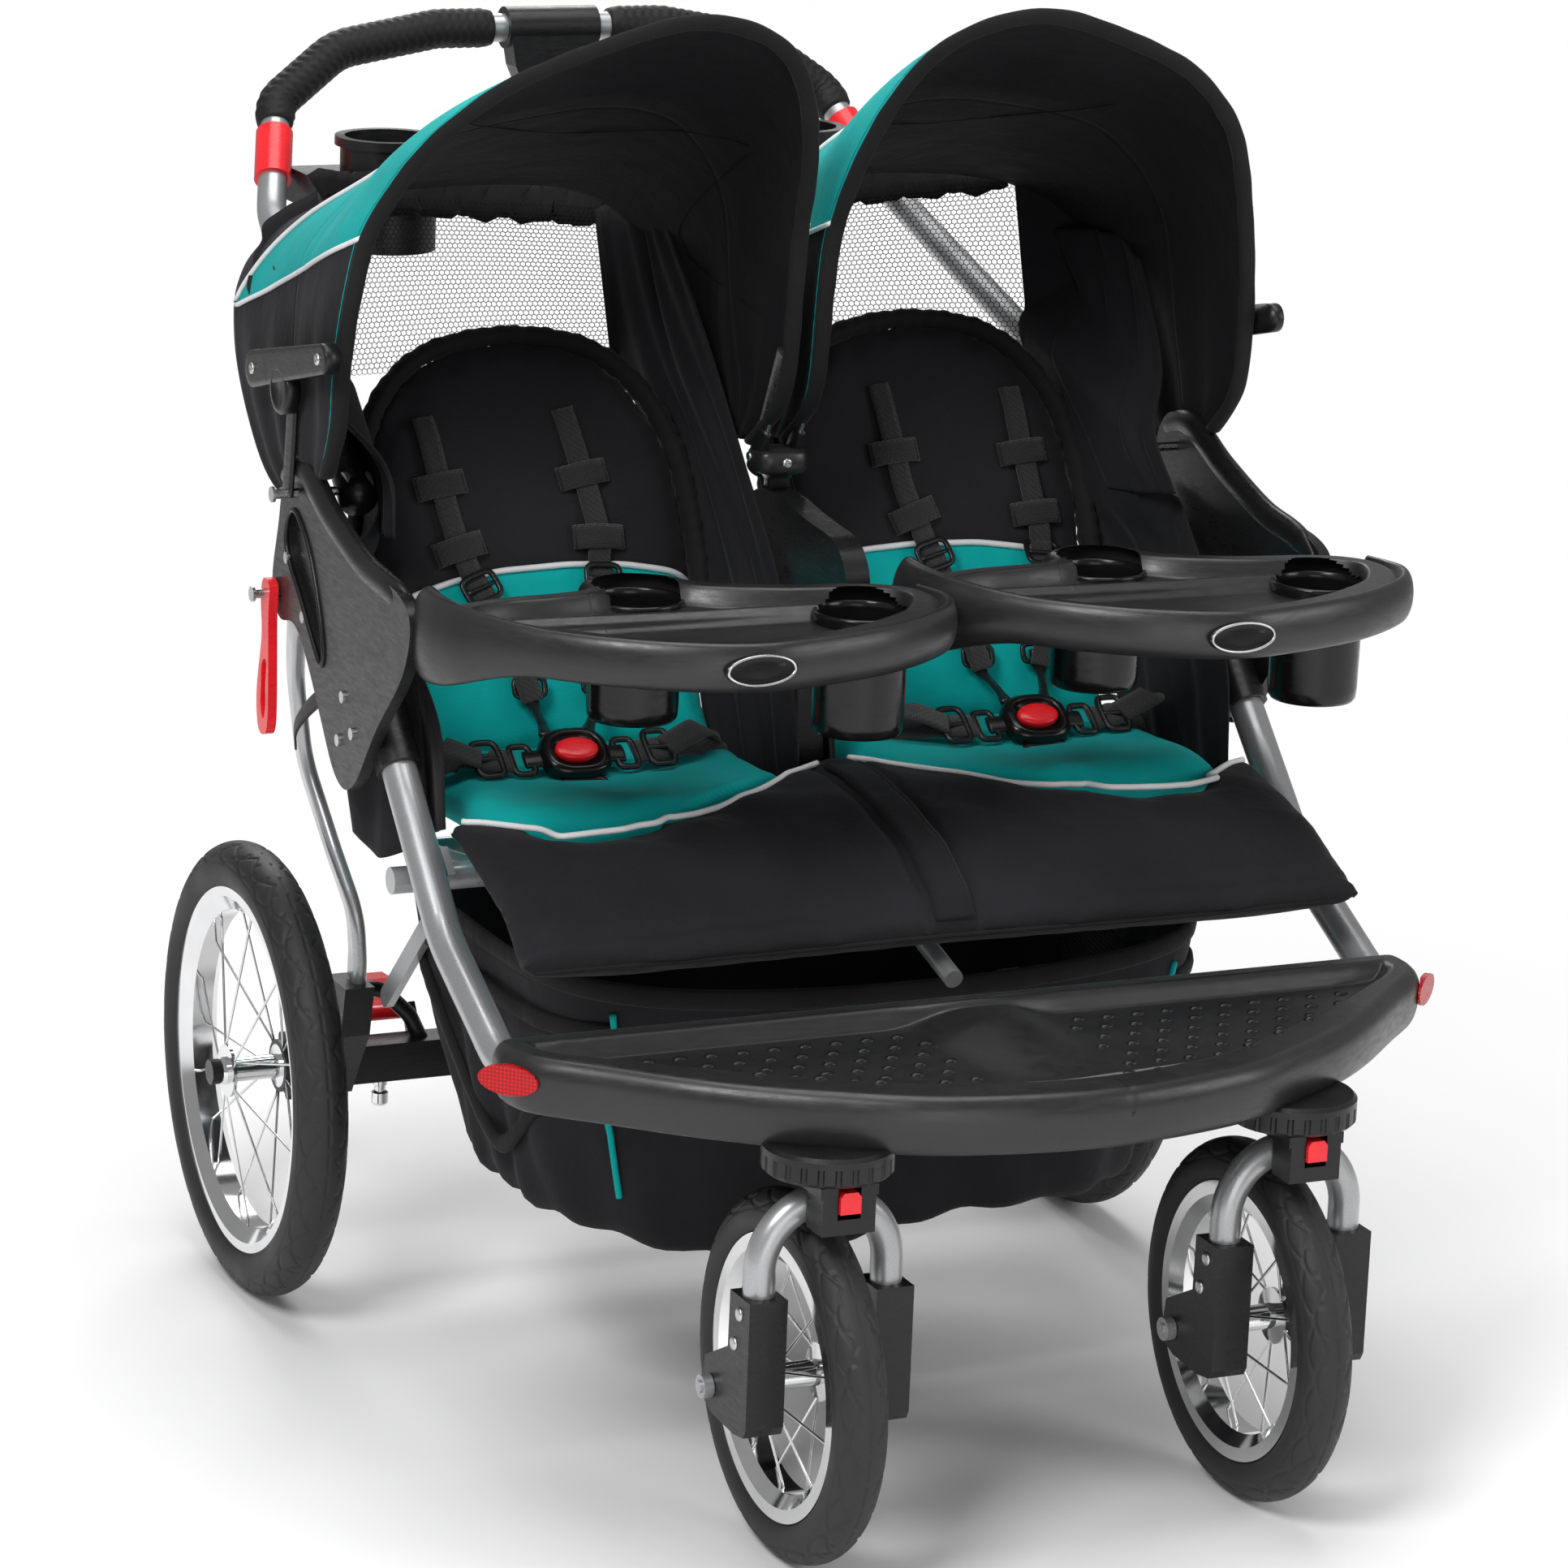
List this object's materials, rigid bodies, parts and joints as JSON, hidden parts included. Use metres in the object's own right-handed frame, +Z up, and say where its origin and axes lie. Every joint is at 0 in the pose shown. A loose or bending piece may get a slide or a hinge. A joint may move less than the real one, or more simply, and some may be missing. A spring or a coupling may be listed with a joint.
{
  "type": "twin jogging stroller",
  "caption": "Side-by-side two-seat jogging stroller with spoked wheels, swivel casters, canopies, child trays, footrest, parent handle and under-seat basket.",
  "frame": {"origin": "on the ground, under the middle of the stroller's bounding box", "axes": "+Z up, -Y towards the front casters, +Y towards the handle; left is -X and right is +X, as seen from in front of the stroller"},
  "size_m": [0.872, 1.2369, 1.1467],
  "materials": {
    "silver_tube": "silver-grey painted steel tube",
    "black_plastic": "satin moulded black",
    "grey_plastic": "satin grey",
    "red_plastic": "smooth red",
    "red_reflector": "clear red lens",
    "chrome": "polished",
    "zinc": "zinc plated",
    "tyre": "treaded",
    "foam_grip": "ribbed foam",
    "black_fabric": "fine woven polyester",
    "teal_fabric": "fine woven polyester",
    "mesh_fabric": "open net"
  },
  "bodies": {
    "frame": {"front_frame_tube": "silver_tube", "side_plate_left": "black_plastic", "side_plate_right": "black_plastic", "centre_bracket": "black_plastic", "canopy_post": "silver_tube", "footrest": "black_plastic", "reflectors": "red_reflector", "swivel_housings": "grey_plastic", "seat_frame": "silver_tube", "frame_rivets": "zinc", "leg_rest_pad": "black_fabric", "seat_cushions": "teal_fabric", "seat_side_panels": "black_fabric", "storage_basket": "black_fabric", "harness_buckles": "black_plastic"},
    "handle": {"handle_tube": "silver_tube", "handle_grips": "foam_grip", "handle_collars": "red_plastic", "handle_sleeve": "black_plastic", "parent_console": "black_plastic", "rear_mesh_panels": "mesh_fabric"},
    "rear_legs": {"rear_leg_left": "silver_tube", "rear_leg_right": "silver_tube", "axle_brackets": "black_plastic", "axle_beam": "black_plastic"},
    "brace_links": {"brace_links": "silver_tube"},
    "caster_left": {"caster_fork_left": "silver_tube", "fork_brackets_left": "black_plastic"},
    "front_wheel_left": {"front_tyre_left": "tyre", "front_wheel_left": "chrome"},
    "swivel_lock_left": {"swivel_lock_left": "red_plastic"},
    "rear_wheel_left": {"rear_tyre_left": "tyre", "rear_wheel_left": "chrome"},
    "brake_pedal_left": {"brake_pedal_left": "red_plastic"},
    "wheel_pin_left": {"wheel_pin_left": "chrome"},
    "canopy_base_left": {"canopy_stay_left": "black_plastic"},
    "canopy_left": {"canopy_left": "teal_fabric", "canopy_hoop_left": "silver_tube"},
    "seat_back_left": {"seat_back_left": "black_fabric"},
    "tray_left": {"tray_left": "black_plastic"},
    "tray_button_left": {"tray_button_left": "red_plastic"},
    "fold_lever_left": {"fold_lever_left": "red_plastic"},
    "buckle_button_left": {"buckle_button_left": "red_plastic"},
    "caster_right": {"caster_fork_right": "silver_tube", "fork_brackets_right": "black_plastic"},
    "front_wheel_right": {"front_tyre_right": "tyre", "front_wheel_right": "chrome"},
    "swivel_lock_right": {"swivel_lock_right": "red_plastic"},
    "rear_wheel_right": {"rear_tyre_right": "tyre", "rear_wheel_right": "chrome"},
    "brake_pedal_right": {"brake_pedal_right": "red_plastic"},
    "wheel_pin_right": {"wheel_pin_right": "chrome"},
    "canopy_base_right": {"canopy_stay_right": "black_plastic"},
    "canopy_right": {"canopy_right": "teal_fabric", "canopy_hoop_right": "silver_tube"},
    "seat_back_right": {"seat_back_right": "black_fabric"},
    "tray_right": {"tray_right": "black_plastic"},
    "tray_button_right": {"tray_button_right": "red_plastic"},
    "fold_lever_right": {"fold_lever_right": "red_plastic"},
    "buckle_button_right": {"buckle_button_right": "red_plastic"}
  },
  "joints": [
    {"name": "fold_frame", "type": "hinge", "parent": "frame", "child": "handle", "pos_m": [0, 0.10245, 0.735], "axis": [1, 0, 0], "range_deg": [0, 132], "deforming": ["canopy_left", "canopy_right", "rear_mesh_panels", "seat_side_panels", "storage_basket"]},
    {"name": "fold_rear_legs", "type": "hinge", "parent": "frame", "child": "rear_legs", "pos_m": [0, 0.14945, 0.641], "axis": [1, 0, 0], "range_deg": [-39, 0]},
    {"name": "fold_brace_links", "type": "hinge", "parent": "frame", "child": "brace_links", "pos_m": [0, 0.03145, 0.393], "axis": [1, 0, 0], "range_deg": [-112, 0]},
    {"name": "caster_swivel_left", "type": "hinge", "parent": "frame", "child": "caster_left", "pos_m": [-0.2, -0.52055, 0.34], "axis": [0, 0, 1], "continuous": true},
    {"name": "spin_front_left", "type": "hinge", "parent": "caster_left", "child": "front_wheel_left", "pos_m": [-0.2, -0.47155, 0.147], "axis": [1, 0, 0], "continuous": true},
    {"name": "press_lock_left", "type": "slide", "parent": "caster_left", "child": "swivel_lock_left", "axis": [0, 0, -1], "range_m": [0, 0.004]},
    {"name": "spin_rear_left", "type": "hinge", "parent": "rear_legs", "child": "rear_wheel_left", "pos_m": [-0.396, 0.23745, 0.198], "axis": [1, 0, 0], "continuous": true},
    {"name": "step_brake_left", "type": "hinge", "parent": "rear_legs", "child": "brake_pedal_left", "pos_m": [-0.27, 0.27145, 0.226], "axis": [1, 0, 0], "range_deg": [-18, 0]},
    {"name": "pull_pin_left", "type": "slide", "parent": "rear_legs", "child": "wheel_pin_left", "axis": [0, 0, -1], "range_m": [0, 0.006]},
    {"name": "fold_canopy_left", "type": "hinge", "parent": "handle", "child": "canopy_base_left", "pos_m": [-0.426, 0.10245, 0.735], "axis": [1, 0, 0], "range_deg": [-71, 0]},
    {"name": "canopy_visor_left", "type": "hinge", "parent": "canopy_base_left", "child": "canopy_left", "pos_m": [-0.213, 0.10245, 0.735], "axis": [1, 0, 0], "range_deg": [-31, 0]},
    {"name": "recline_left", "type": "hinge", "parent": "frame", "child": "seat_back_left", "pos_m": [-0.188, 0.07245, 0.495], "axis": [1, 0, 0], "range_deg": [-25, 0]},
    {"name": "slide_tray_left", "type": "slide", "parent": "frame", "child": "tray_left", "axis": [0, -1, 0], "range_m": [0, 0.12]},
    {"name": "press_tray_left", "type": "slide", "parent": "tray_left", "child": "tray_button_left", "axis": [0, 0, 1], "range_m": [0, 0.004]},
    {"name": "turn_lever_left", "type": "hinge", "parent": "frame", "child": "fold_lever_left", "pos_m": [-0.418, 0.14945, 0.641], "axis": [1, 0, 0], "range_deg": [-5, 30]},
    {"name": "press_buckle_left", "type": "slide", "parent": "frame", "child": "buckle_button_left", "axis": [0, 0.5736, -0.8192], "range_m": [0, 0.0025]},
    {"name": "caster_swivel_right", "type": "hinge", "parent": "frame", "child": "caster_right", "pos_m": [0.2, -0.52055, 0.34], "axis": [0, 0, 1], "continuous": true},
    {"name": "spin_front_right", "type": "hinge", "parent": "caster_right", "child": "front_wheel_right", "pos_m": [0.2, -0.47155, 0.147], "axis": [1, 0, 0], "continuous": true},
    {"name": "press_lock_right", "type": "slide", "parent": "caster_right", "child": "swivel_lock_right", "axis": [0, 0, -1], "range_m": [0, 0.004]},
    {"name": "spin_rear_right", "type": "hinge", "parent": "rear_legs", "child": "rear_wheel_right", "pos_m": [0.396, 0.23745, 0.198], "axis": [1, 0, 0], "continuous": true},
    {"name": "step_brake_right", "type": "hinge", "parent": "rear_legs", "child": "brake_pedal_right", "pos_m": [0.27, 0.27145, 0.226], "axis": [1, 0, 0], "range_deg": [-18, 0]},
    {"name": "pull_pin_right", "type": "slide", "parent": "rear_legs", "child": "wheel_pin_right", "axis": [0, 0, -1], "range_m": [0, 0.006]},
    {"name": "fold_canopy_right", "type": "hinge", "parent": "handle", "child": "canopy_base_right", "pos_m": [0.426, 0.10245, 0.735], "axis": [1, 0, 0], "range_deg": [-71, 0]},
    {"name": "canopy_visor_right", "type": "hinge", "parent": "canopy_base_right", "child": "canopy_right", "pos_m": [0.213, 0.10245, 0.735], "axis": [1, 0, 0], "range_deg": [-31, 0]},
    {"name": "recline_right", "type": "hinge", "parent": "frame", "child": "seat_back_right", "pos_m": [0.188, 0.07245, 0.495], "axis": [1, 0, 0], "range_deg": [-25, 0]},
    {"name": "slide_tray_right", "type": "slide", "parent": "frame", "child": "tray_right", "axis": [0, -1, 0], "range_m": [0, 0.12]},
    {"name": "press_tray_right", "type": "slide", "parent": "tray_right", "child": "tray_button_right", "axis": [0, 0, 1], "range_m": [0, 0.004]},
    {"name": "turn_lever_right", "type": "hinge", "parent": "frame", "child": "fold_lever_right", "pos_m": [0.418, 0.14945, 0.641], "axis": [1, 0, 0], "range_deg": [-5, 30]},
    {"name": "press_buckle_right", "type": "slide", "parent": "frame", "child": "buckle_button_right", "axis": [0, 0.5736, -0.8192], "range_m": [0, 0.0025]}
  ],
  "couplings": [
    {"joint": "fold_rear_legs", "follows": "fold_frame", "ratio": -0.28788},
    {"joint": "fold_brace_links", "follows": "fold_frame", "ratio": -0.84091},
    {"joint": "fold_canopy_left", "follows": "fold_frame", "ratio": -0.5303},
    {"joint": "fold_canopy_right", "follows": "fold_frame", "ratio": -0.5303}
  ]
}
